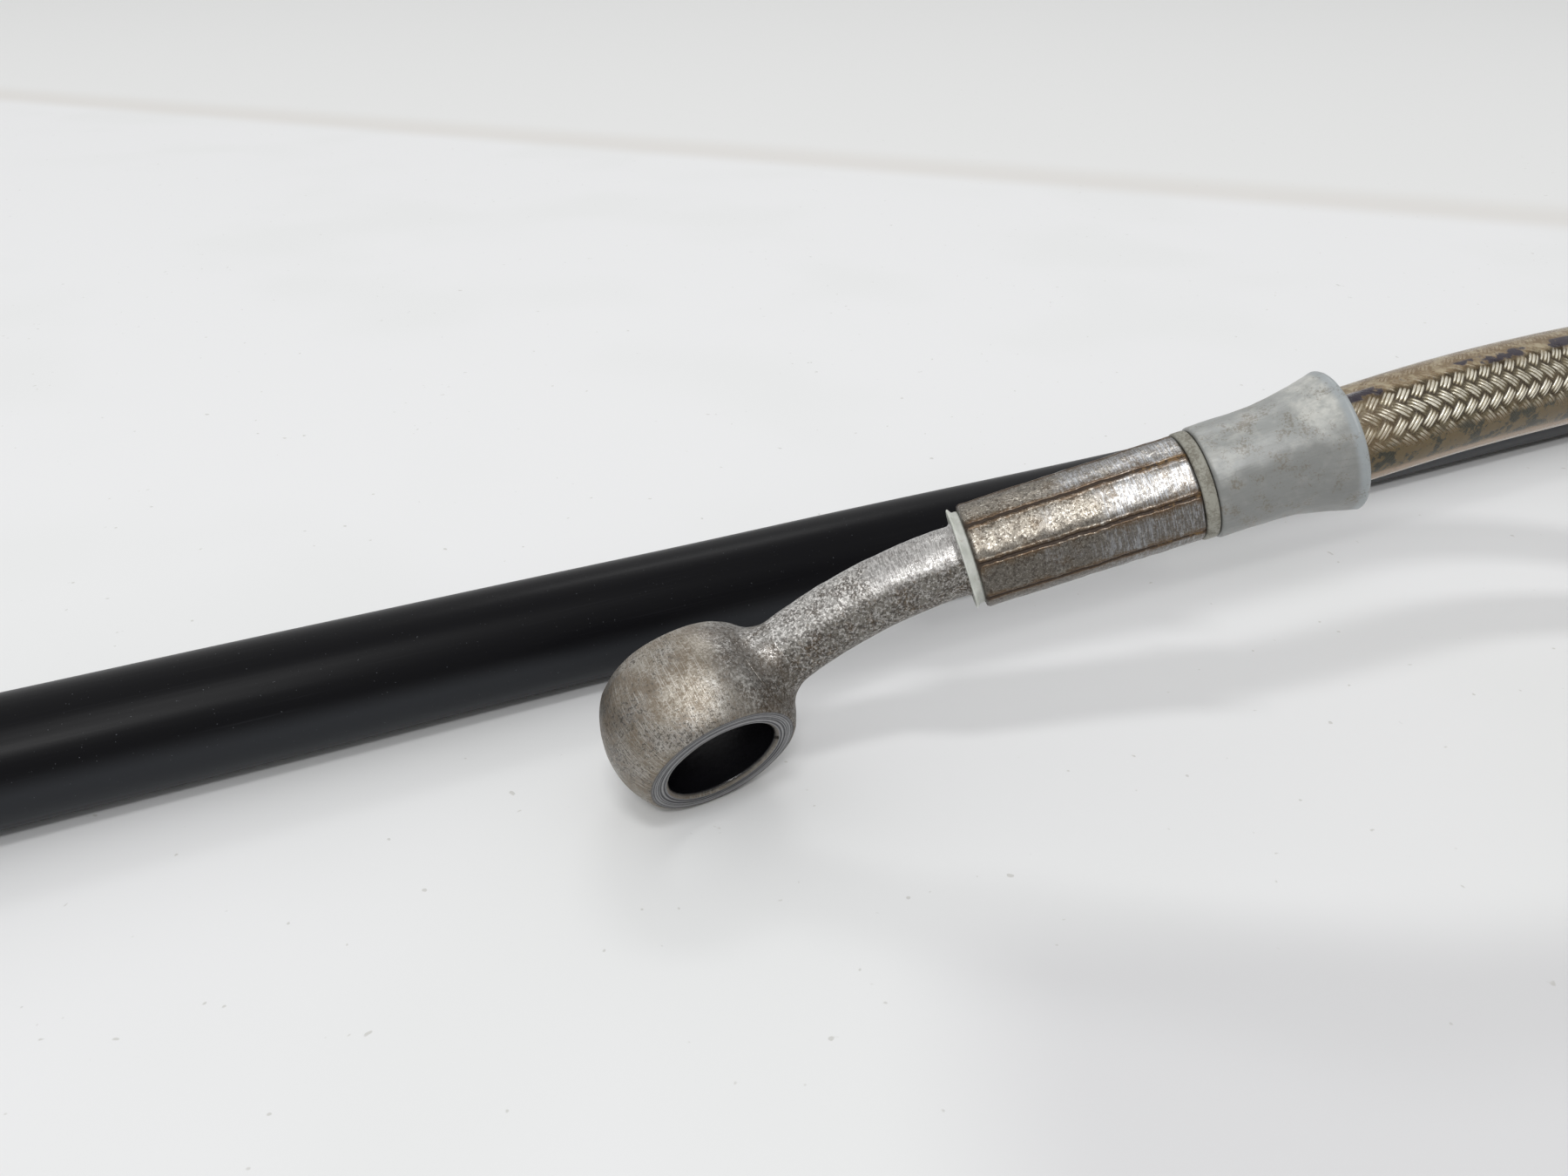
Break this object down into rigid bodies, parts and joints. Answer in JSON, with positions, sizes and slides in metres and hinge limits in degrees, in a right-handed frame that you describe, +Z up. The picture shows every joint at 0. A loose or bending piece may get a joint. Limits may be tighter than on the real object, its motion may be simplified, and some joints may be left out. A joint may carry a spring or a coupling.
{
  "type": "hydraulic brake line",
  "caption": "Braided hydraulic hose with a bent banjo eye on each end, sliding bend sleeves, and a black guard tube over its long run, coiled as stored.",
  "frame": {"origin": "centre of the bore of the first banjo eye", "axes": "+Z up from the surface the line lies on; +X along the line's overall length, from the second fitting towards the coil; +Y away from the viewer"},
  "size_m": [0.378, 0.1465, 0.0397],
  "materials": {
    "forged_steel": "blasted and dull-plated, lathe marks on the barrel, brown dirt in the pores",
    "neck_steel": "bright plated tube, grainy, brown stains",
    "ferrule_steel": "plated, eight crimp marks with rust and dirt in them",
    "washer_nylon": "milky translucent nylon",
    "liner_ptfe": "smooth white PTFE",
    "bare_braid": "woven stainless wire",
    "seat_rubber": "dull beige",
    "sleeve_plastic": "frosted grey translucent, dirt flecks",
    "hose_jacket": "clear gloss jacket over herringbone steel braid, aged to straw colour",
    "guard_black": "glossy black with fine scuffs",
    "tie_nylon": "moulded black nylon"
  },
  "bodies": {
    "line": {"eye_a": "forged_steel", "neck_a": "neck_steel", "braze_fillet_a": "forged_steel", "collar_a": "washer_nylon", "ferrule_a": "ferrule_steel", "liner_end_a": "liner_ptfe", "braid_end_a": "bare_braid", "seat_ring_a": "seat_rubber", "eye_b": "forged_steel", "neck_b": "neck_steel", "braze_fillet_b": "forged_steel", "collar_b": "washer_nylon", "ferrule_b": "ferrule_steel", "liner_end_b": "liner_ptfe", "braid_end_b": "bare_braid", "seat_ring_b": "seat_rubber", "hose_run_a": "hose_jacket", "hose_coil": "hose_jacket", "hose_run_b": "hose_jacket", "coil_ties": "tie_nylon"},
    "bend_sleeve_a": {"bend_sleeve_a": "sleeve_plastic"},
    "bend_sleeve_b": {"bend_sleeve_b": "sleeve_plastic"},
    "guard_tube": {"guard_tube": "guard_black"}
  },
  "joints": [
    {"name": "bend_sleeve_a_slide", "type": "slide", "parent": "line", "child": "bend_sleeve_a", "axis": [0.9447, 0.0555, 0.3233], "range_m": [0, 0.005]},
    {"name": "bend_sleeve_b_slide", "type": "slide", "parent": "line", "child": "bend_sleeve_b", "axis": [0.9037, 0.4197, -0.0842], "range_m": [0, 0.005]},
    {"name": "guard_tube_slide", "type": "slide", "parent": "line", "child": "guard_tube", "axis": [0.9078, 0.4195, 0], "range_m": [-0.01, 0]}
  ]
}
